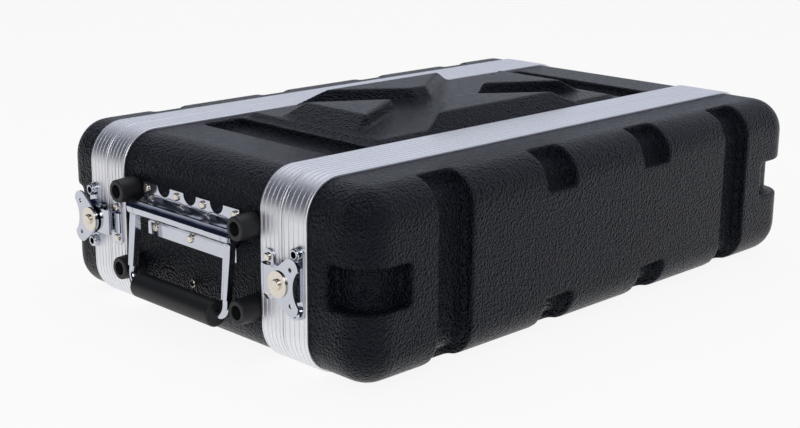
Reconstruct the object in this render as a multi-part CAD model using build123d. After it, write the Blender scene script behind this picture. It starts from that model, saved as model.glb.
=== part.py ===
from build123d import *
import os
from math import atan2, degrees

# A two-unit rack flight case: plastic shells in aluminium bands, two lift-off lids, four twist latches
# Millimetres: X is the width, Y the depth (the front lid faces -Y), Z is up from the surface it stands on

# The case, measured over its aluminium bands
case_width = 530.0
case_height = 143.0
corner_radius = 30.0
body_depth = 212.0
front_lid_depth = 81.0
rear_lid_depth = 55.0

# Aluminium bands: each seam has one half on the body and one on the lid
body_valance_width = 23.0
front_lid_valance_width = 25.6
rear_lid_valance_width = 22.4
valance_skin = 1.5
valance_leg = 1.4
valance_leg_setback = 5.0
valance_web = 7.0
valance_edge = 0.6
seam_gap = 0.8
flute_count = 5
flute_width = 1.2
flute_depth = 0.4
tongue_reach = 4.0
tongue_thickness = 1.6
tongue_clearance = 0.4

# Plastic shells
wall = 3.0
shell_fit = 0.1
overshoot = 1.0

# Shape of the body shell
panel_drop = 0.8
panel_bottom = 20.0
panel_top = 113.0
panel_setback = 0.5
strip_inner = 155.0
strip_outer = 193.0
strip_depth = 6.7
strip_rear_margin = 7.5
plateau_side_margin = 6.0
plateau_margin = 3.0
plateau_slope = 6.0
plateau_rise = 3.3
block_rise = 10.5
side_block_margin = 11.0
side_block_slope = 19.0
side_block_half = 47.0
side_block_tip = 46.0
side_block_top_half = 37.5
side_block_top_tip = 57.0
end_block_margin = 1.0
end_block_slope = 11.5
end_block_half = 95.0
end_block_tip = 15.0
end_block_tip_half = 9.0
end_block_top_half = 70.0
end_block_top_tip = 25.0

# Shape of the lid shells
front_lid_round = 27.0
rear_lid_round = 14.0
groove_depth = 8.0
groove_inner = 158.5
groove_outer = 191.5
notch_inner = 43.0
notch_outer = 76.0
notch_height = 28.2
front_groove_run = 24.0
rear_groove_run = 16.0
pocket_inner = 219.0
pocket_height = 30.0
pocket_rise = 3.5
pocket_depth = 10.0
front_pocket_run = 37.0
rear_pocket_run = 15.0

# Rack rails, to the 19-inch pattern, two units high
rack_unit = 44.45
rack_units = 2
rack_hole_rows = (6.35, 22.225, 38.1)
rack_hole_spacing = 465.1
rack_hole_radius = 3.0
rack_opening = 450.0
rail_thickness = 2.0
rail_margin = 2.0
rail_depth = 29.0
rail_clearance = 0.5
hardware_height = 70.0

# Rubber feet on the side walls, with the screws that also hold the rails
foot_spacing_y = 145.0
foot_spacing_z = 61.5
foot_length = 17.1
foot_base_radius = 10.0
foot_end_radius = 8.8
foot_edge = 1.2
foot_bore_radius = 5.4
foot_floor = 4.0
screw_radius = 2.5
screw_head_radius = 4.6
screw_head_height = 3.2
screw_tail = 1.5
screw_clearance = 0.2
nut_across_flats = 8.0
nut_height = 4.7
nut_clearance = 0.05

# Sprung bail handle on each side wall
handle_flange_top = 108.8
handle_flange_bottom = 98.0
handle_flange_length = 116.5
handle_lower_top = 79.6
handle_lower_bottom = 68.7
handle_lower_length = 108.0
handle_sheet = 1.2
handle_upper_rivets = (-54.0, -16.0, 16.0, 54.0)
handle_upper_rivet_height = 104.5
handle_lower_rivets = (-43.9, 0.0, 43.9)
handle_lower_rivet_height = 75.2
scallop_radius = 7.8
scallop_places = (-32.2, 0.0, 32.2)
handle_pivot_height = 90.3
handle_pivot_out = 9.4
barrel_radius = 6.0
barrel_wall = 1.4
barrel_length = 107.5
barrel_end_wall = 5.0
pin_radius = 2.5
pin_clearance = 0.05
pin_head_radius = 4.5
pin_head_height = 1.2
spring_radius = 4.1
spring_wire = 1.1
spring_length = 60.0
eye_thickness = 7.5
eye_gap = 0.4
eye_clearance = 0.08
bail_drop = 59.0
bail_rest_angle = 5.5
bail_rod_radius = 3.0
bail_corner = 9.0
arm_top_width = 8.5
arm_bottom_width = 6.2
arm_thickness = 5.2
arm_taper = 46.0
grip_radius = 9.7
grip_gap = 1.0
grip_edge = 1.5
grip_fit = 0.05

# Rivets
rivet_radius = 1.6
rivet_head_radius = 3.1
rivet_head_height = 1.8
rivet_head_round = 1.2
rivet_fit = 0.05
wall_rivet_height = 40.5

# Twist latches, drawn from the seam, the latch centre and the face of the band
pivot_from_seam = 9.5
latch_sheet = 1.5
base_start = 1.5
base_length = 20.8
base_half_height = 13.0
base_wall_top = 9.4
guide_gap = 0.4
eyelet_from_seam = 18.4
eyelet_rise = 21.2
eyelet_ear = 5.2
eyelet_radius = 4.7
eyelet_hole = 2.6
eyelet_wall = 0.6
eyelet_height = 3.7
eyelet_round = 1.3
eyelet_flare = 0.8
boss_radius = 4.5
boss_top = 6.6
hook_bottom = 7.5
hook_half_height = 10.0
hook_nose_from_seam = 8.5
hook_nose_radius = 2.4
hook_tail = 2.0
cam_radius = 6.0
cam_offset = 2.0
cam_bottom = 6.9
cam_play = 0.7
butterfly_bottom = 10.2
butterfly_hub = 10.0
lobe_reach = 12.8
lobe_radius = 7.9
lobe_hole = 1.7
wing_scallop = 18.5
wing_scallop_reach = 33.8
latch_pin_radius = 2.5
latch_pin_clearance = 0.08
disc_radius = 9.5
disc_thickness = 1.0
disc_gap = 0.2
latch_head_radius = 4.0
latch_head_height = 2.0
keeper_start = 1.5
keeper_end = 19.0
keeper_half_height = 8.0
keeper_rivet_from_seam = 13.4
keeper_rivet_rise = 12.5
keeper_ear = 6.0
keeper_lip_from_seam = 3.6
keeper_lip_radius = 1.8
keeper_lip_top = 3.8
keeper_ramp_start = 12.0
keeper_ramp_edge = 1.2

# Places that follow from the sizes above
case_depth = front_lid_depth + body_depth + rear_lid_depth
front_face = -case_depth / 2
rear_face = case_depth / 2
front_seam = front_face + front_lid_depth
rear_seam = front_seam + body_depth
body_centre = (front_seam + rear_seam) / 2
shell_inset = valance_skin + shell_fit
band_section = valance_skin + 2 * shell_fit + wall + valance_leg
shell_setback = valance_web + 2 * shell_fit
shell_top = case_height - shell_inset
plateau_top = shell_top + plateau_rise
block_top = plateau_top + block_rise
band_face = case_width / 2
panel_face = band_face - shell_inset - panel_drop
strip_length = body_depth - 2 * body_valance_width - panel_setback - strip_rear_margin
plateau_half_width = strip_inner - plateau_side_margin
plateau_half_depth = body_depth / 2 - body_valance_width - plateau_margin
side_block_outer = plateau_half_width - side_block_margin
end_block_outer = plateau_half_depth - end_block_margin
pocket_centre = hardware_height + pocket_rise
rail_face = panel_face - wall
rail_setback = body_valance_width - valance_leg_setback + rail_clearance
pivot_x = panel_face + handle_pivot_out
hook_top = hook_bottom + latch_sheet
butterfly_top = butterfly_bottom + latch_sheet
disc_bottom = butterfly_top + disc_gap
disc_top = disc_bottom + disc_thickness
arm_centre = barrel_length / 2 + eye_gap + eye_thickness / 2

SIDES = {"left": -1, "right": 1}
ENDS = {"front": -1, "rear": 1}


def slab(inset, y_from, y_to):
    """The case's rounded cross-section, drawn in by inset, between two depths."""
    outline = RectangleRounded(
        case_width - 2 * inset, case_height - 2 * inset, corner_radius - inset)
    section = Plane.XZ * Pos(0, case_height / 2) * outline
    return Pos(0, y_to, 0) * extrude(section, amount=y_to - y_from)


def ring(outer_inset, inner_inset, y_from, y_to):
    """A hoop of the cross-section between two insets."""
    return slab(outer_inset, y_from, y_to) - slab(
        inner_inset, y_from - overshoot, y_to + overshoot)


def block(x_from, x_to, y_from, y_to, z_from, z_to):
    """A plain box between two corners."""
    size = (abs(x_to - x_from), abs(y_to - y_from), abs(z_to - z_from))
    return Pos((x_from + x_to) / 2, (y_from + y_to) / 2, (z_from + z_to) / 2) * Box(*size)


def across(radius, x_from, x_to, y, z):
    """A round bar along X."""
    bar = Cylinder(radius, abs(x_to - x_from), rotation=(0, 90, 0))
    return Pos((x_from + x_to) / 2, y, z) * bar


def along(radius, y_from, y_to, x, z):
    """A round bar along Y."""
    bar = Cylinder(radius, abs(y_to - y_from), rotation=(90, 0, 0))
    return Pos(x, (y_from + y_to) / 2, z) * bar


def on_side(piece, side):
    """A piece drawn on the right wall, put on the wall that side names."""
    return piece if side > 0 else mirror(piece, about=Plane.YZ)


def on_latch(piece, side, end):
    """A piece drawn at a latch (X out, Y from the seam to the lid), put at one of the four latches."""
    if end < 0:
        piece = mirror(piece, about=Plane.XZ)
    seam = front_seam if end < 0 else rear_seam
    return on_side(Pos(band_face, seam, hardware_height) * piece, side)


def plate(face, bottom, top):
    """Sheet metal cut to a face in the latch's (Y, Z) plane, between two heights above the band."""
    return Pos(bottom, 0, 0) * extrude(Plane.YZ * face, amount=top - bottom)


def domed_head(radius, height, rounding):
    """A rivet head at the origin that rises along X."""
    head = across(radius, 0, height, 0, 0)
    return fillet(head.edges().filter_by(GeomType.CIRCLE).sort_by(Axis.X)[-1], rounding)


def foot_places():
    """Depth and height of the four feet on a side wall."""
    return [
        (body_centre + y * foot_spacing_y / 2, hardware_height + z * foot_spacing_z / 2)
        for y in (-1, 1)
        for z in (-1, 1)]


def handle_rivet_places():
    """Depth and height of the rivets of one handle."""
    upper = [(body_centre + y, handle_upper_rivet_height) for y in handle_upper_rivets]
    lower = [(body_centre + y, handle_lower_rivet_height) for y in handle_lower_rivets]
    return upper + lower


def keeper_rivet_places():
    """Keeper rivets, from the seam and the latch centre."""
    return [(-keeper_rivet_from_seam, z * keeper_rivet_rise) for z in (-1, 1)]


def eyelet_places():
    """Eyelets of a latch base, from the seam and the latch centre."""
    return [(eyelet_from_seam, z * eyelet_rise) for z in (-1, 1)]


def drill_latches(piece, places, radius, ends):
    """Cut latch rivet holes through the bands or shells at both sides."""
    for y, z in places:
        hole = across(radius, -band_section - overshoot, overshoot, y, z)
        for end in ends:
            for side in SIDES.values():
                piece -= on_latch(hole, side, end)
    return piece


def valance(width, tongued):
    """One band half from the seam at Y = 0 out to its width, with a tongue or the groove for one."""
    start = seam_gap / 2
    band = ring(0, band_section, start, width)
    band -= ring(valance_skin, band_section - valance_leg, valance_web, width + overshoot)
    band -= ring(valance_skin, band_section + overshoot, width - valance_leg_setback, width + overshoot)
    pitch = (width - start) / flute_count
    for number in range(flute_count):
        middle = start + (number + 0.5) * pitch
        band -= ring(-overshoot, flute_depth, middle - flute_width / 2, middle + flute_width / 2)
    tongue_outer = (band_section - tongue_thickness) / 2
    tongue_inner = tongue_outer + tongue_thickness
    if tongued:
        band += ring(tongue_outer, tongue_inner, -tongue_reach, start)
    else:
        band -= ring(
            tongue_outer - tongue_clearance, tongue_inner + tongue_clearance,
            0, tongue_reach + tongue_clearance)
    for depth in (start, width):
        rims = [f for f in band.faces().filter_by(Axis.Y) if abs(f.center().Y - depth) < seam_gap / 4]
        widest = max(rims, key=lambda face: face.bounding_box().size.X)
        band = chamfer(widest.outer_wire().edges(), min(valance_edge, valance_skin / 3))
    return band


def place_valance(band, end, towards_lid):
    """Set a band half at its seam, on the lid side or the body side of it."""
    seam = front_seam if end < 0 else rear_seam
    direction = end if towards_lid else -end
    if direction < 0:
        band = mirror(band, about=Plane.XZ)
    return Pos(0, seam, 0) * band


def frustum(base, top, shrink, z_from, z_to):
    """A block with sloping sides between two outlines, drawn in by shrink on every side."""
    faces = []
    for outline, z in ((base, z_from), (top, z_to)):
        face = make_face(Polyline(outline, close=True))
        if shrink:
            face = offset(face, -shrink, kind=Kind.INTERSECTION)
        faces.append(Pos(0, body_centre, z) * face)
    return loft(faces, ruled=True)


def side_block(sign, outer, half, tip):
    """The triangle of a raised block at the left or right, pointing at the middle."""
    return [(sign * outer, half), (sign * outer, -half), (sign * tip, 0)]


def end_block(sign, outer, half, tip):
    """The blunt triangle of a raised block at the front or rear, pointing at the middle."""
    return [
        (half, sign * outer), (-half, sign * outer),
        (-end_block_tip_half, sign * tip), (end_block_tip_half, sign * tip)]


def body_form(inward, y_from, y_to):
    """The body's outer form, drawn in by inward, with its panels, strips and raised blocks."""
    form = slab(shell_inset + inward, y_from, y_to)
    panel_front = front_seam + body_valance_width + panel_setback - inward
    panel_rear = rear_seam - body_valance_width - panel_setback + inward
    strip_front = front_seam + body_valance_width + panel_setback
    for side in SIDES.values():
        form -= on_side(block(
            panel_face - inward, case_width, panel_front, panel_rear,
            panel_bottom - inward, panel_top + inward), side)
        form -= on_side(block(
            strip_inner - inward, strip_outer + inward,
            strip_front - inward, strip_front + strip_length + inward,
            shell_top - strip_depth - inward, case_height * 2), side)
    seat = shell_top - inward - overshoot
    low = [(x * plateau_half_width, y * plateau_half_depth) for x, y in ((1, 1), (-1, 1), (-1, -1), (1, -1))]
    high = [(x - plateau_slope * x / abs(x), y - plateau_slope * y / abs(y)) for x, y in low]
    form += frustum(low, high, inward, seat, plateau_top - inward)
    block_seat = plateau_top - inward - overshoot
    for sign in (-1, 1):
        base = side_block(sign, side_block_outer, side_block_half, side_block_tip)
        top = side_block(
            sign, side_block_outer - side_block_slope, side_block_top_half, side_block_top_tip)
        form += frustum(base, top, inward, block_seat, block_top - inward)
        base = end_block(sign, end_block_outer, end_block_half, end_block_tip)
        top = end_block(
            sign, end_block_outer - end_block_slope, end_block_top_half, end_block_top_tip)
        form += frustum(base, top, inward, block_seat, block_top - inward)
    return form


def body_shell():
    """The plastic tube of the body, open at both ends."""
    front = front_seam + shell_setback
    rear = rear_seam - shell_setback
    shell = body_form(0, front, rear) - body_form(wall, front - overshoot, rear + overshoot)
    for side in SIDES.values():
        for y, z in foot_places():
            hole = across(screw_radius + screw_clearance, rail_face - overshoot, case_width, y, z)
            shell -= on_side(hole, side)
        for y, z in handle_rivet_places() + [(body_centre, wall_rivet_height)]:
            hole = across(rivet_radius + rivet_fit, rail_face - overshoot, case_width, y, z)
            shell -= on_side(hole, side)
    return drill_latches(shell, keeper_rivet_places(), rivet_radius + rivet_fit, ENDS.values())


def lid_core(inward, depth, rounding, inset):
    """A lid's smooth outer form, from its face at Y = 0 to its open edge, drawn in by inset."""
    form = slab(shell_inset + inset, inset, depth - shell_setback + inward)
    face = form.faces().filter_by(Axis.Y).sort_by(Axis.Y)[0]
    return fillet(face.edges(), rounding - inset)


def lid_form(inward, depth, rounding, groove_run, pocket_run):
    """A lid's outer form with its grooves, notches and corner pockets, drawn in by inward."""
    form = lid_core(inward, depth, rounding, inward)
    groove_floor = lid_core(inward + overshoot, depth, rounding, groove_depth + inward)
    pocket_floor = lid_core(inward + overshoot, depth, rounding, pocket_depth + inward)
    low = -overshoot
    high = case_height + overshoot
    for side in SIDES.values():
        cuts = block(groove_inner - inward, groove_outer + inward, low, groove_run + inward, low, high)
        notch_end = notch_height + shell_inset
        for z_from, z_to in ((low, notch_end), (case_height - notch_end, high)):
            z_low = z_from if z_from == low else z_from - inward
            z_high = z_to if z_to == high else z_to + inward
            cuts += block(notch_inner - inward, notch_outer + inward, low, groove_run + inward, z_low, z_high)
        form -= on_side(cuts, side) - groove_floor
        half = pocket_height / 2 + inward
        pocket = block(
            pocket_inner - inward, case_width, low, pocket_run + inward,
            pocket_centre - half, pocket_centre + half)
        form -= on_side(pocket, side) - pocket_floor
    return form


def lid_shell(end, depth, rounding, groove_run, pocket_run):
    """A plastic lid, open towards the body."""
    shell = lid_form(0, depth, rounding, groove_run, pocket_run) - lid_form(
        wall, depth, rounding, groove_run, pocket_run)
    if end > 0:
        shell = mirror(shell, about=Plane.XZ)
    shell = Pos(0, front_face if end < 0 else rear_face, 0) * shell
    return drill_latches(shell, eyelet_places(), eyelet_hole + eyelet_wall + rivet_fit, (end,))


def rail(side, end):
    """A steel rack rail: a drilled flange at the opening and a leg against the side wall."""
    seam = front_seam if end < 0 else rear_seam
    flange_y = seam - end * rail_setback
    half = rack_unit * rack_units / 2 + rail_margin
    low = hardware_height - half
    high = hardware_height + half
    piece = block(rack_opening / 2, rail_face, flange_y, flange_y - end * rail_thickness, low, high)
    piece += block(rail_face - rail_thickness, rail_face, flange_y, flange_y - end * rail_depth, low, high)
    for z in rack_hole_heights():
        piece -= along(
            rack_hole_radius, flange_y - rail_thickness * 2, flange_y + rail_thickness * 2,
            rack_hole_spacing / 2, z)
    for y, z in foot_places():
        if (y - body_centre) * end > 0:
            piece -= across(screw_radius + screw_clearance, rack_opening / 2, case_width, y, z)
    return on_side(piece, side)


def rack_hole_heights():
    """Heights of the rail holes, row by row in each rack unit."""
    bottom = hardware_height - rack_unit * rack_units / 2
    return [bottom + unit * rack_unit + row for unit in range(rack_units) for row in rack_hole_rows]


def foot(side, y, z):
    """A tapered rubber foot with a deep bore for its screw."""
    body = Cone(foot_base_radius, foot_end_radius, foot_length, rotation=(0, 90, 0))
    body = Pos(panel_face + foot_length / 2, y, z) * body
    body = fillet(body.edges().filter_by(GeomType.CIRCLE).sort_by(Axis.X)[-1], foot_edge)
    body -= across(foot_bore_radius, panel_face + foot_floor, case_width, y, z)
    body -= across(screw_radius + screw_clearance, rail_face, case_width, y, z)
    return on_side(body, side)


def foot_screw(side, y, z):
    """The screw that clamps a foot, the wall and a rail leg."""
    seat = panel_face + foot_floor
    tip = rail_face - rail_thickness - nut_height - screw_tail
    screw = across(screw_radius, tip, seat + screw_head_height / 2, y, z)
    head = domed_head(screw_head_radius, screw_head_height, screw_head_height / 3)
    return on_side(screw + Pos(seat, y, z) * head, side)


def foot_nut(side, y, z):
    """The nut behind a rail leg."""
    hexagon = RegularPolygon(nut_across_flats / 2, 6, major_radius=False)
    nut = Plane.YZ * extrude(hexagon - Circle(screw_radius + nut_clearance), amount=nut_height)
    return on_side(Pos(rail_face - rail_thickness - nut_height, y, z) * nut, side)


def strip(start, end, thickness):
    """A straight strip of sheet seen on edge, between two points of its middle line."""
    run = Vector(*end) - Vector(*start)
    middle = (Vector(*start) + Vector(*end)) / 2
    turn = degrees(atan2(run.Y, run.X))
    return Pos(middle.X, middle.Y) * Rot(0, 0, turn) * Rectangle(run.length + thickness / 2, thickness)


def across_body(section, length):
    """A section drawn in X and Z, run along Y about the middle of the body."""
    return Pos(0, body_centre, 0) * extrude(Plane.XZ * section, amount=length / 2, both=True)


def handle_plate(side):
    """The sheet that carries the handle: two riveted flanges and the barrel between them."""
    skin = barrel_radius - handle_sheet / 2
    wall_line = panel_face + handle_sheet / 2
    upper = block(
        panel_face, panel_face + handle_sheet,
        body_centre - handle_flange_length / 2, body_centre + handle_flange_length / 2,
        handle_flange_bottom, handle_flange_top)
    lower = block(
        panel_face, panel_face + handle_sheet,
        body_centre - handle_lower_length / 2, body_centre + handle_lower_length / 2,
        handle_lower_bottom, handle_lower_top)
    for place in scallop_places:
        upper -= across(scallop_radius, rail_face, case_width, body_centre + place, handle_flange_top)
    webs = strip(
        (wall_line, handle_flange_bottom + handle_sheet), (pivot_x, handle_pivot_height + skin), handle_sheet)
    webs += strip(
        (wall_line, handle_lower_top - handle_sheet), (pivot_x, handle_pivot_height - skin), handle_sheet)
    barrel = Pos(pivot_x, handle_pivot_height) * Circle(barrel_radius)
    piece = across_body(webs, min(barrel_length, handle_lower_length)) + across_body(barrel, barrel_length)
    piece += upper + lower
    inside = barrel_length / 2 - barrel_end_wall
    piece -= along(
        barrel_radius - barrel_wall, body_centre - inside, body_centre + inside, pivot_x, handle_pivot_height)
    piece -= along(
        pin_radius + pin_clearance, body_centre - barrel_length, body_centre + barrel_length,
        pivot_x, handle_pivot_height)
    for y, z in handle_rivet_places():
        piece -= across(rivet_radius + rivet_fit, rail_face, case_width, y, z)
    return on_side(piece, side)


def handle_pin(side):
    """The pivot pin, headed outside both eyes of the bail."""
    reach = arm_centre + eye_thickness / 2 + eye_gap
    pin = along(pin_radius, body_centre - reach, body_centre + reach, pivot_x, handle_pivot_height)
    for sign in (-1, 1):
        pin += along(
            pin_head_radius, body_centre + sign * reach, body_centre + sign * (reach + pin_head_height),
            pivot_x, handle_pivot_height)
    return on_side(pin, side)


def handle_spring(side):
    """The return spring inside the barrel, as the plain sleeve that its close turns fill."""
    half = spring_length / 2
    spring = along(spring_radius, body_centre - half, body_centre + half, pivot_x, handle_pivot_height)
    spring -= along(
        spring_radius - spring_wire, body_centre - spring_length, body_centre + spring_length,
        pivot_x, handle_pivot_height)
    return on_side(spring, side)


def hang(piece):
    """Lean a piece of the bail out from the wall about its pin, as it hangs at rest."""
    pivot = Pos(pivot_x, 0, handle_pivot_height)
    return pivot * Rot(0, -bail_rest_angle, 0) * pivot.inverse() * piece


def handle_bail(side):
    """The chromed bail: two tapered arms with eyes, and the rod through the grip."""
    grip_height = handle_pivot_height - bail_drop
    arm_foot = handle_pivot_height - arm_taper
    knee = handle_pivot_height - barrel_radius
    near = body_centre - arm_centre
    far = body_centre + arm_centre
    route = FilletPolyline(
        (pivot_x, near, knee), (pivot_x, near, grip_height),
        (pivot_x, far, grip_height), (pivot_x, far, knee), radius=bail_corner)
    bail = sweep(Plane(origin=(pivot_x, near, knee), z_dir=(0, 0, -1)) * Circle(bail_rod_radius), path=route)
    for y in (near, far):
        top = Pos(pivot_x, y, handle_pivot_height) * Rectangle(arm_thickness, arm_top_width)
        foot_end = Pos(pivot_x, y, arm_foot) * Rectangle(arm_thickness, arm_bottom_width)
        bail += loft([foot_end, top], ruled=True)
        bail -= along(
            barrel_radius * 2, y - arm_top_width, y - eye_thickness / 2, pivot_x, handle_pivot_height)
        bail -= along(
            barrel_radius * 2, y + eye_thickness / 2, y + arm_top_width, pivot_x, handle_pivot_height)
        bail += along(
            barrel_radius, y - eye_thickness / 2, y + eye_thickness / 2, pivot_x, handle_pivot_height)
        bail -= along(
            pin_radius + eye_clearance, y - arm_top_width, y + arm_top_width, pivot_x, handle_pivot_height)
    return on_side(hang(bail), side)


def handle_grip(side):
    """The round grip on the bail's rod."""
    half = arm_centre - bail_corner - grip_gap
    height = handle_pivot_height - bail_drop
    grip = along(grip_radius, body_centre - half, body_centre + half, pivot_x, height)
    grip = fillet(grip.edges().filter_by(GeomType.CIRCLE), grip_edge)
    grip -= along(
        bail_rod_radius + grip_fit, body_centre - arm_centre, body_centre + arm_centre, pivot_x, height)
    return on_side(hang(grip), side)


def blind_rivet(outer, inner, y, z):
    """A rivet through a wall, with a domed head outside and a flat one inside."""
    rivet = across(rivet_radius, inner, outer + rivet_head_height / 2, y, z)
    rivet += Pos(outer, y, z) * domed_head(rivet_head_radius, rivet_head_height, rivet_head_round)
    rivet += across(rivet_head_radius, inner - rivet_head_height / 2, inner, y, z)
    return rivet


def handle_rivets(side):
    """Seven rivets of a handle plate and the single one in the wall below it."""
    rivets = [
        blind_rivet(panel_face + handle_sheet, rail_face, y, z) for y, z in handle_rivet_places()]
    rivets.append(blind_rivet(panel_face, rail_face, body_centre, wall_rivet_height))
    return [on_side(rivet, side) for rivet in rivets]


def latch_base():
    """The latch's base on the lid: a plate with two ears, guides for the hook and a boss for the pin."""
    end = base_start + base_length
    middle = (base_start + end) / 2
    outline = Pos(middle, 0) * Rectangle(base_length, 2 * base_half_height)
    ears = Sketch() + [Pos(y, z) * Circle(eyelet_ear) for y, z in eyelet_places()]
    outline += make_hull(ears.edges())
    base = plate(outline, 0, latch_sheet)
    guide = hook_half_height + guide_gap
    for sign in (-1, 1):
        base += block(
            0, base_wall_top, base_start, end, sign * guide, sign * (guide + latch_sheet))
    base += block(0, base_wall_top, end - latch_sheet, end, -guide, guide)
    base += across(boss_radius, 0, boss_top, pivot_from_seam, 0)
    base -= across(
        latch_pin_radius + rivet_fit, -overshoot, boss_top + overshoot, pivot_from_seam, 0)
    for y, z in eyelet_places():
        base -= across(eyelet_hole + eyelet_wall + rivet_fit, -overshoot, base_wall_top, y, z)
    return base


def latch_hook():
    """The sliding hook: a plate with a window for the cam and a rolled nose over the keeper."""
    window_start = pivot_from_seam + cam_offset - cam_radius - cam_play
    window_end = pivot_from_seam + cam_offset + cam_radius + cam_play
    window_half = cam_offset + cam_radius + cam_play / 2
    hook = block(
        hook_bottom, hook_top, -hook_nose_from_seam, window_end + hook_tail,
        -hook_half_height, hook_half_height)
    hook -= block(
        hook_bottom - overshoot, hook_top + overshoot, window_start, window_end, -window_half, window_half)
    nose = Cylinder(hook_nose_radius, 2 * hook_half_height)
    hook += Pos(hook_top - hook_nose_radius, -hook_nose_from_seam, 0) * nose
    return hook


def latch_butterfly():
    """The butterfly handle: two drilled lobes, and the offset cam that drives the hook."""
    lobes = [(lobe_reach, sign * lobe_reach) for sign in (-1, 1)]
    rounds = Circle(butterfly_hub) + [Pos(y, z) * Circle(lobe_radius) for y, z in lobes]
    wing = make_hull(rounds.edges())
    wing -= Pos(wing_scallop_reach, 0) * Circle(wing_scallop)
    for y, z in lobes:
        wing -= Pos(y, z) * Circle(lobe_hole)
    piece = plate(Pos(pivot_from_seam, 0) * wing, butterfly_bottom, butterfly_top)
    piece += across(cam_radius, cam_bottom, butterfly_top, pivot_from_seam + cam_offset, 0)
    piece -= across(
        latch_pin_radius + latch_pin_clearance, cam_bottom - overshoot, butterfly_top + overshoot,
        pivot_from_seam, 0)
    return piece


def latch_pin():
    """The pin that the butterfly turns on, with its wide disc and domed head."""
    pin = across(latch_pin_radius, 0, disc_top, pivot_from_seam, 0)
    pin += across(disc_radius, disc_bottom, disc_top, pivot_from_seam, 0)
    head = domed_head(latch_head_radius, latch_head_height, latch_head_height / 2)
    return pin + Pos(disc_top, pivot_from_seam, 0) * head


def latch_keeper():
    """The keeper on the body: a riveted plate with the rolled lip and a ramp behind it."""
    middle = -(keeper_start + keeper_end) / 2
    outline = Pos(middle, 0) * Rectangle(keeper_end - keeper_start, 2 * keeper_half_height)
    ears = Sketch() + [Pos(y, z) * Circle(keeper_ear) for y, z in keeper_rivet_places()]
    outline += make_hull(ears.edges())
    keeper = plate(outline, 0, latch_sheet)
    lip = Cylinder(keeper_lip_radius, 2 * keeper_half_height)
    keeper += Pos(keeper_lip_top - keeper_lip_radius, -keeper_lip_from_seam, 0) * lip
    ramp = block(
        0, keeper_lip_top, -keeper_end, -keeper_ramp_start, -keeper_half_height, keeper_half_height)
    keeper += fillet(ramp.edges().filter_by(Axis.Z).group_by(Axis.X)[-1], keeper_ramp_edge)
    for y, z in keeper_rivet_places():
        keeper -= across(rivet_radius + rivet_fit, -overshoot, keeper_lip_top, y, z)
    return keeper


def eyelet(y, z):
    """A hollow eyelet that fixes an ear of the latch base to the band."""
    shank = eyelet_hole + eyelet_wall
    ring_head = across(eyelet_radius, latch_sheet, latch_sheet + eyelet_height, y, z)
    ring_head = fillet(
        ring_head.edges().filter_by(GeomType.CIRCLE).sort_by(Axis.X)[-1], eyelet_round)
    piece = ring_head + across(shank, -band_section, latch_sheet + eyelet_height / 2, y, z)
    piece += across(eyelet_radius, -band_section - eyelet_flare, -band_section, y, z)
    return piece - across(
        eyelet_hole, -band_section - eyelet_flare * 2, latch_sheet + eyelet_height * 2, y, z)


def save(name, *pieces):
    """Write one node from its solids."""
    solids = [solid for piece in pieces for solid in piece.solids()]
    shape = solids[0] if len(solids) == 1 else Compound(children=solids)
    export_step(shape, f"parts/{name}.step")


def save_body():
    """The body's shell, bands and rack rails."""
    save("body_shell", body_shell())
    for name, end in ENDS.items():
        band = place_valance(valance(body_valance_width, tongued=False), end, towards_lid=False)
        band = drill_latches(band, keeper_rivet_places(), rivet_radius + rivet_fit, (end,))
        save(f"{name}_body_valance", band)
        for side_name, side in SIDES.items():
            save(f"{name}_{side_name}_rack_rail", rail(side, end))


def save_lids():
    """Both lids: a shell and a band half each."""
    sizes = {
        "front": (front_lid_depth, front_lid_round, front_groove_run, front_pocket_run),
        "rear": (rear_lid_depth, rear_lid_round, rear_groove_run, rear_pocket_run)}
    widths = {"front": front_lid_valance_width, "rear": rear_lid_valance_width}
    for name, end in ENDS.items():
        save(f"{name}_lid_shell", lid_shell(end, *sizes[name]))
        band = place_valance(valance(widths[name], tongued=True), end, towards_lid=True)
        band = drill_latches(band, eyelet_places(), eyelet_hole + eyelet_wall + rivet_fit, (end,))
        save(f"{name}_lid_valance", band)


def save_feet():
    """Eight feet, and their screws and nuts as one group each."""
    screws = []
    nuts = []
    heights = {-1: "lower", 1: "upper"}
    for side_name, side in SIDES.items():
        for y, z in foot_places():
            end_name = "front" if y < body_centre else "rear"
            level = heights[1 if z > hardware_height else -1]
            save(f"{side_name}_{end_name}_{level}_foot", foot(side, y, z))
            screws.append(foot_screw(side, y, z))
            nuts.append(foot_nut(side, y, z))
    save("foot_screws", *screws)
    save("foot_screw_nuts", *nuts)


def save_handles():
    """A sprung bail handle on each side."""
    for name, side in SIDES.items():
        save(f"{name}_handle_plate", handle_plate(side))
        save(f"{name}_handle_pin", handle_pin(side))
        save(f"{name}_handle_spring", handle_spring(side))
        save(f"{name}_handle_bail", handle_bail(side))
        save(f"{name}_handle_grip", handle_grip(side))
        save(f"{name}_handle_rivets", *handle_rivets(side))


def save_latches():
    """A twist latch at each side of each seam."""
    keeper_rivets = []
    for end_name, end in ENDS.items():
        eyelets = []
        for side_name, side in SIDES.items():
            place = f"{end_name}_{side_name}_latch"
            save(f"{place}_base", on_latch(latch_base(), side, end))
            save(f"{place}_hook", on_latch(latch_hook(), side, end))
            save(f"{place}_butterfly", on_latch(latch_butterfly(), side, end))
            save(f"{place}_pin", on_latch(latch_pin(), side, end))
            save(f"{place}_keeper", on_latch(latch_keeper(), side, end))
            eyelets += [on_latch(eyelet(y, z), side, end) for y, z in eyelet_places()]
            keeper_rivets += [
                on_latch(blind_rivet(latch_sheet, -band_section, y, z), side, end)
                for y, z in keeper_rivet_places()]
        save(f"{end_name}_latch_eyelets", *eyelets)
    save("keeper_rivets", *keeper_rivets)


os.makedirs("parts", exist_ok=True)
save_body()
save_lids()
save_feet()
save_handles()
save_latches()
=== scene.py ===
import math

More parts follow.
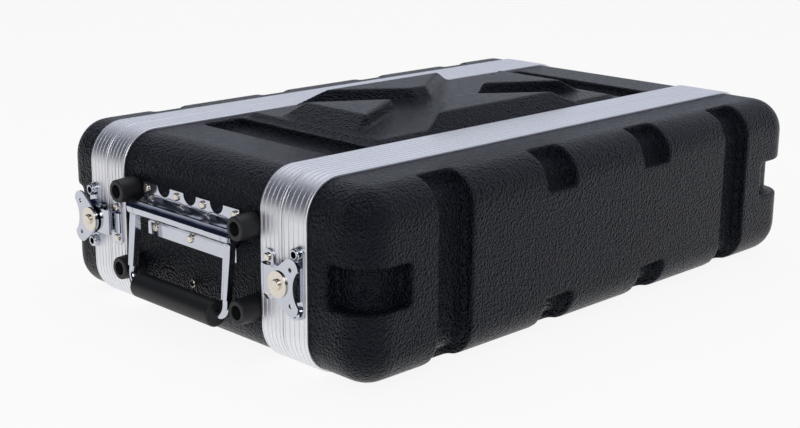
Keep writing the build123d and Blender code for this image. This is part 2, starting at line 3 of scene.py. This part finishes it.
import bmesh
import bpy
from mathutils import Matrix, Vector


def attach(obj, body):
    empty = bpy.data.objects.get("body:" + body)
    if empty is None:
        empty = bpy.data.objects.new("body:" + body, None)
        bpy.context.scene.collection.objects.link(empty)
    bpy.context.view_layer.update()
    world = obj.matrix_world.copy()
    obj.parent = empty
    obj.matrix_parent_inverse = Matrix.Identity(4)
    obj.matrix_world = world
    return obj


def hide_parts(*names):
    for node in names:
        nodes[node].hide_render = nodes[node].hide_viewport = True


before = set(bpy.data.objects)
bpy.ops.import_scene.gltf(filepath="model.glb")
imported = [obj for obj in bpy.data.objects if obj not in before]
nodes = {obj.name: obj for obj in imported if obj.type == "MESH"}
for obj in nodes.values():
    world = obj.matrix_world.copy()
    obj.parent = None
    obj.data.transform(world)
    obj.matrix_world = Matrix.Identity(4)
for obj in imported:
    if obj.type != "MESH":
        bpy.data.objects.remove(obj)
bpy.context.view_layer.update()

# Moulded shells: the body tube and both lids, vacuum-formed black ABS about 3 mm thick.
# The mould leaves a fine pebble grain on the outside and rounds every edge of the raised
# blocks, grooves and pockets. Each skin is the CAD shell with its edges softened.


class Wire:
    """A node's output used in plain arithmetic: each operator adds one Math node."""

    def __init__(self, tree, socket):
        self.tree = tree
        self.socket = socket

    def math(self, operation, other):
        return self.tree.add("ShaderNodeMath", {"operation": operation}, {0: self, 1: other})

    def __add__(self, other):
        return self.math("ADD", other)

    def __mul__(self, other):
        return self.math("MULTIPLY", other)


class Tree:
    """A node tree that is put together by calls."""

    def __init__(self, tree):
        self.tree = tree

    def plug(self, socket, value):
        if isinstance(value, Wire):
            self.tree.links.new(value.socket, socket)
        else:
            socket.default_value = value

    def add(self, kind, settings=None, sockets=None, output=0):
        node = self.tree.nodes.new(kind)
        for name, value in (settings or {}).items():
            setattr(node, name, value)
        for name, value in (sockets or {}).items():
            self.plug(node.inputs[name], value)
        return Wire(self, node.outputs[output])

    def blend(self, mask, low, high):
        mixed = self.add("ShaderNodeMix", {"data_type": "RGBA"}, {"Factor": mask}, output=2)
        inputs = mixed.socket.node.inputs
        for socket, color in ((inputs[6], low), (inputs[7], high)):
            self.plug(socket, color if isinstance(color, Wire) else (*color, 1))
        return mixed


class Finish(Tree):
    """A material for one finish, built on its Principled shader."""

    def __init__(self, name, **sockets):
        self.material = bpy.data.materials.new(name)
        self.material.use_nodes = True
        super().__init__(self.material.node_tree)
        self.shader = self.tree.nodes["Principled BSDF"]
        self.place = self.add("ShaderNodeTexCoord", output="Object")
        self.set(**sockets)

    def set(self, **sockets):
        for name, value in sockets.items():
            self.plug(self.shader.inputs[name.replace("_", " ")], value)

    def noise(self, scale, stretch=(1, 1, 1), detail=2.0):
        spread = self.add("ShaderNodeMapping", None, {"Vector": self.place, "Scale": stretch})
        sockets = {"Vector": spread, "Scale": scale, "Detail": detail}
        return self.add("ShaderNodeTexNoise", None, sockets)

    def cells(self, scale):
        sockets = {"Vector": self.place, "Scale": scale}
        return self.add("ShaderNodeTexVoronoi", {"feature": "SMOOTH_F1"}, sockets)

    def bump(self, height, depth, strength):
        sockets = {"Height": height, "Distance": depth, "Strength": strength}
        self.set(Normal=self.add("ShaderNodeBump", None, sockets))

    def mottle(self, mask, low, high, roughness, spread):
        """Vary colour and roughness together over the surface."""
        self.set(Base_Color=self.blend(mask, low, high))
        self.set(Roughness=mask * spread + roughness)


GRAIN_CELLS = 520
GRAIN_NOISE = 640
CELL_SHARE = 0.8
NOISE_SHARE = 0.7
GRAIN_DEPTH = 0.0024
PLASTIC_SPECULAR = 0.17
PLASTIC_TINT = (0.72, 0.78, 1.0, 1)
HAZE_SCALE = 14

plastic = Finish(
    "pebbled_black_plastic", Specular_IOR_Level=PLASTIC_SPECULAR, Specular_Tint=PLASTIC_TINT)
grain = plastic.cells(GRAIN_CELLS) * CELL_SHARE + plastic.noise(GRAIN_NOISE, detail=1.0) * NOISE_SHARE
plastic.bump(grain, depth=GRAIN_DEPTH, strength=1.0)
plastic.mottle(
    plastic.noise(HAZE_SCALE, detail=4.0), low=(0.0025, 0.0030, 0.0052), high=(0.0050, 0.0058, 0.0090),
    roughness=0.22, spread=0.08)

VOXEL = 0.0017
WELD = 1e-6
ROUNDING_FACTOR = 0.5
ROUNDING_PASSES = 7
SKIN_TRIANGLES = 190000


def settled(skin):
    """The skin with its modifiers worked out."""
    bpy.context.view_layer.update()
    return skin.evaluated_get(bpy.context.evaluated_depsgraph_get())


def moulded_skin(node):
    """A copy of a CAD shell whose edges are rounded as a mould leaves them."""
    form = bmesh.new()
    form.from_mesh(nodes[node].data)
    bmesh.ops.remove_doubles(form, verts=form.verts, dist=WELD)
    mesh = bpy.data.meshes.new(node + "_skin")
    form.to_mesh(mesh)
    form.free()
    skin = bpy.data.objects.new(node + "_skin", mesh)
    bpy.context.scene.collection.objects.link(skin)
    remesh = skin.modifiers.new("wall", "REMESH")
    remesh.mode = "VOXEL"
    remesh.voxel_size = VOXEL
    rounding = skin.modifiers.new("rounding", "SMOOTH")
    rounding.factor = ROUNDING_FACTOR
    rounding.iterations = ROUNDING_PASSES
    thinning = skin.modifiers.new("thinning", "DECIMATE")
    squares = len(settled(skin).data.polygons)
    thinning.ratio = min(1.0, SKIN_TRIANGLES / max(1, 2 * squares))
    shaped = bpy.data.meshes.new_from_object(settled(skin))
    skin.modifiers.clear()
    skin.data = shaped
    shaped.shade_smooth()
    shaped.materials.clear()
    shaped.materials.append(plastic.material)
    return skin


SHELL_BODIES = {"body_shell": "case_body", "front_lid_shell": "front_lid", "rear_lid_shell": "rear_lid"}

for node, body in SHELL_BODIES.items():
    skin = moulded_skin(node)
    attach(skin, body)
    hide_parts(node)

# Aluminium bands: extruded halves with fine flutes along their length, bent round the
# case and fixed over the edges of the shells. Satin, with faint lines from the extrusion.
BAND_STREAKS = (25, 3200, 25)


def dress(finish, *names):
    """Give CAD nodes their material."""
    for name in names:
        nodes[name].data.materials.clear()
        nodes[name].data.materials.append(finish.material)


band_metal = Finish("satin_aluminium", Metallic=1.0)
streaks = band_metal.noise(1.0, BAND_STREAKS, detail=3.0)
band_metal.mottle(
    streaks, low=(0.84, 0.85, 0.88), high=(0.93, 0.93, 0.96), roughness=0.40, spread=0.12)
band_metal.bump(streaks, depth=0.00004, strength=0.6)
dress(band_metal, *[name for name in nodes if name.endswith("_valance")])

# Rack rails: folded steel angle, zinc plated black, drilled to the 19-inch pattern.
# They are bolted through the side walls by the foot screws.
rail_metal = Finish("black_zinc_steel", Metallic=0.6)
rail_metal.mottle(
    rail_metal.noise(60, detail=5.0), low=(0.012, 0.012, 0.013), high=(0.035, 0.035, 0.038),
    roughness=0.35, spread=0.2)
dress(rail_metal, *[name for name in nodes if name.endswith("rack_rail")])

# Rubber feet: moulded bumpers on the side walls, so that the case can stand on its side.
# Smooth and matte, with a faint mould texture.
rubber = Finish("moulded_rubber", Specular_IOR_Level=0.4)
skin_mark = rubber.noise(220, detail=3.0)
rubber.mottle(
    skin_mark, low=(0.008, 0.0085, 0.010), high=(0.014, 0.0145, 0.017), roughness=0.42, spread=0.15)
rubber.bump(skin_mark, depth=0.00006, strength=0.5)
dress(rubber, *[name for name in nodes if name.endswith("_foot")])

# Screws and nuts that clamp the feet and the rails. Zinc-plated steel.
zinc = Finish("zinc_plate", Metallic=1.0)
zinc.mottle(
    zinc.noise(300, detail=4.0), low=(0.45, 0.46, 0.49), high=(0.62, 0.63, 0.66),
    roughness=0.25, spread=0.2)
dress(zinc, "foot_screws", "foot_screw_nuts")

# Handles: a pressed chrome plate with a rolled barrel, a chromed bail that swings on a
# pin in the barrel, and a round grip on its rod. A spring in the barrel folds it back.
chrome = Finish("bright_chrome", Metallic=1.0)
chrome.mottle(
    chrome.noise(90, detail=3.0), low=(0.50, 0.52, 0.58), high=(0.60, 0.62, 0.68),
    roughness=0.05, spread=0.10)
chrome.bump(chrome.noise(55, detail=1.0), depth=0.0012, strength=0.6)

nickel = Finish("nickel_plate", Metallic=1.0)
nickel.mottle(
    nickel.noise(140, detail=3.0), low=(0.66, 0.60, 0.52), high=(0.80, 0.75, 0.68),
    roughness=0.18, spread=0.15)

for side in ("left", "right"):
    dress(chrome, f"{side}_handle_plate", f"{side}_handle_pin", f"{side}_handle_bail")
    dress(nickel, f"{side}_handle_rivets")
    dress(zinc, f"{side}_handle_spring")
    dress(rubber, f"{side}_handle_grip")

# Twist latches: chromed pressings and eyelets, with a nickel pin that carries the
# butterfly and nickel rivets through the keepers.
CHROMED = ("latch_base", "latch_hook", "latch_butterfly", "latch_keeper", "latch_eyelets")
NICKELLED = ("latch_pin", "keeper_rivets")

dress(chrome, *[name for name in nodes if name.endswith(CHROMED)])
dress(nickel, *[name for name in nodes if name.endswith(NICKELLED)])

# Floor: a wide white sweep. It glows for the camera and for shiny metal, so that it shows
# nearly white, and keeps a little of the case's shadow.
FLOOR_SIZE = 12.0
FLOOR_GLOW = 0.9

sweep = bmesh.new()
bmesh.ops.create_grid(sweep, x_segments=1, y_segments=1, size=FLOOR_SIZE / 2)
floor_mesh = bpy.data.meshes.new("floor")
sweep.to_mesh(floor_mesh)
sweep.free()
floor = bpy.data.objects.new("floor", floor_mesh)
bpy.context.scene.collection.objects.link(floor)


def ray_kinds(tree):
    """Whether a ray comes from the camera, and whether it comes from a shiny surface."""
    camera_ray = tree.add("ShaderNodeLightPath", output="Is Camera Ray")
    glossy_ray = Wire(tree, camera_ray.socket.node.outputs["Is Glossy Ray"])
    return camera_ray, glossy_ray


sheet = Finish("white_sweep", Base_Color=(0.82, 0.82, 0.83, 1), Roughness=0.9)
glow = sheet.add("ShaderNodeEmission", None, {"Color": (1, 1, 1, 1), "Strength": 1.0})
camera_ray, glossy_ray = ray_kinds(sheet)
lit = Wire(sheet, sheet.shader.outputs[0])
shown = sheet.add(
    "ShaderNodeMixShader", None, {0: (camera_ray + glossy_ray) * FLOOR_GLOW, 1: lit, 2: glow})
sheet.plug(sheet.tree.nodes["Material Output"].inputs["Surface"], shown)
floor_mesh.materials.append(sheet.material)

# Surround: white for the camera and dimmer as light. Shiny metal sees a room that is dark
# blue at the left and blue grey at the right.
SURROUND_LIGHT = 0.45
ROOM_LEFT = (0.010, 0.014, 0.034)
ROOM_RIGHT = (0.58, 0.61, 0.70)
ROOM_LEFT_EDGE = -0.35
ROOM_RIGHT_EDGE = 0.30
WHITE = (1, 1, 1)

world = bpy.data.worlds.new("surround")
bpy.context.scene.world = world
world.use_nodes = True
surround = Tree(world.node_tree)
camera_ray, glossy_ray = ray_kinds(surround)
strength = surround.add("ShaderNodeMapRange", None, {
    "Value": camera_ray.math("MAXIMUM", glossy_ray), "To Min": SURROUND_LIGHT, "To Max": 1.0})
heading = surround.add("ShaderNodeTexCoord", output="Generated")
rightward = surround.add("ShaderNodeSeparateXYZ", None, {0: heading}, output="X")
across = surround.add("ShaderNodeMapRange", None, {
    "Value": rightward, "From Min": ROOM_LEFT_EDGE, "From Max": ROOM_RIGHT_EDGE})
room = surround.blend(across, ROOM_LEFT, ROOM_RIGHT)
background = surround.tree.nodes["Background"]
surround.plug(background.inputs["Strength"], strength)
surround.plug(background.inputs["Color"], surround.blend(glossy_ray, WHITE, room))


# Lamps: one large soft box overhead and a smaller one at the left.
def soft_light(name, place, target, size, power):
    """A square soft box that faces a point."""
    data = bpy.data.lights.new(name, "AREA")
    data.size = size
    data.energy = power
    lamp = bpy.data.objects.new(name, data)
    lamp.location = place
    lamp.rotation_euler = (Vector(target) - Vector(place)).to_track_quat("-Z", "Y").to_euler()
    bpy.context.scene.collection.objects.link(lamp)


soft_light("overhead", place=(0.1, 0.25, 1.5), target=(0, 0, 0.1), size=1.2, power=4.5)
soft_light("left_fill", place=(-1.5, -0.9, 1.0), target=(0, 0, 0.07), size=0.8, power=8)

# Camera: at the photograph's height, distance and angle, with a slight roll.
CAMERA_PLACE = Vector((-0.8679, -0.8147, 0.3689))
CAMERA_TARGET = Vector((-0.01427, 0.044, 0.04245))
CAMERA_LENS = 63.93
CAMERA_SENSOR = 36
CAMERA_ROLL = math.radians(0.49)

lens = bpy.data.cameras.new("camera")
lens.lens = CAMERA_LENS
lens.sensor_width = CAMERA_SENSOR
camera = bpy.data.objects.new("camera", lens)
camera.location = CAMERA_PLACE
facing = (CAMERA_TARGET - CAMERA_PLACE).to_track_quat("-Z", "Y").to_matrix()
camera.rotation_euler = (facing @ Matrix.Rotation(CAMERA_ROLL, 3, "Z")).to_euler()
bpy.context.scene.collection.objects.link(camera)
bpy.context.scene.camera = camera
bpy.context.scene.view_settings.view_transform = "Standard"
